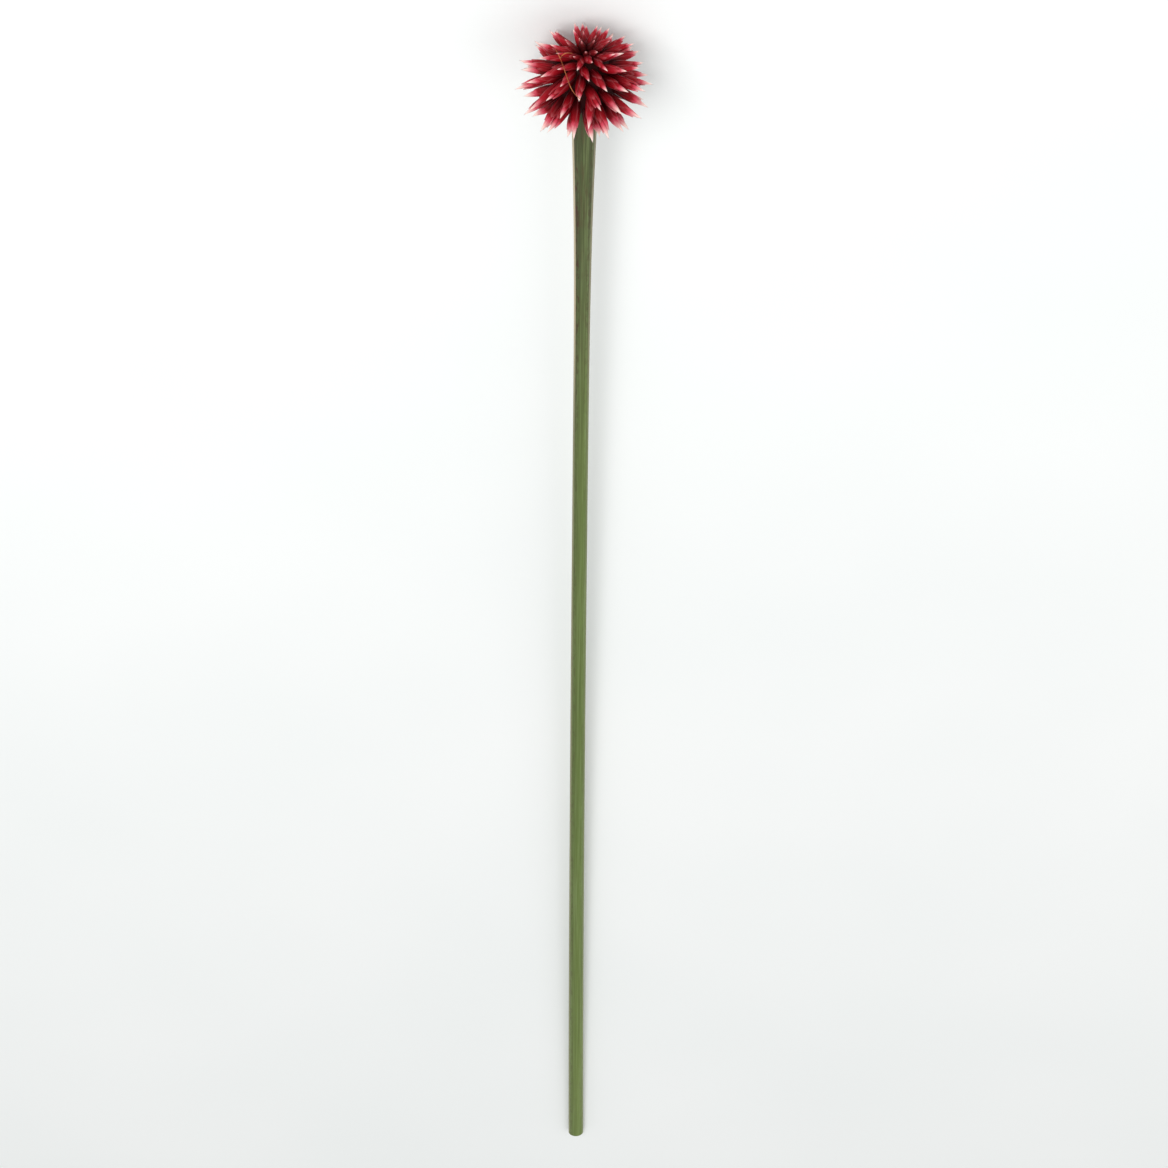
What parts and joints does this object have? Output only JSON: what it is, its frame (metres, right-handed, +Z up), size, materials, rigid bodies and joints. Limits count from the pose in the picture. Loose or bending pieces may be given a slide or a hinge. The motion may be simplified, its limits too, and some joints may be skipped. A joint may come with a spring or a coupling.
{
  "type": "inirida flower",
  "caption": "Single cut inirida flower lying down: a long slender two-edged green stem with a round crimson head of pointed, pale-tipped spikelets.",
  "frame": {"origin": "middle of the flower's footprint, on the surface that it lies on", "axes": "+Y along the flower from the cut end of the stem to the tip of the head, +Z up, +X to the right seen from above with the head away from the viewer"},
  "size_m": [0.0442, 0.6882, 0.0415],
  "materials": {
    "stem_skin": "satin",
    "bracts": "satin"
  },
  "bodies": {
    "root": {"stem": "stem_skin", "flower_head": "bracts"}
  },
  "joints": []
}
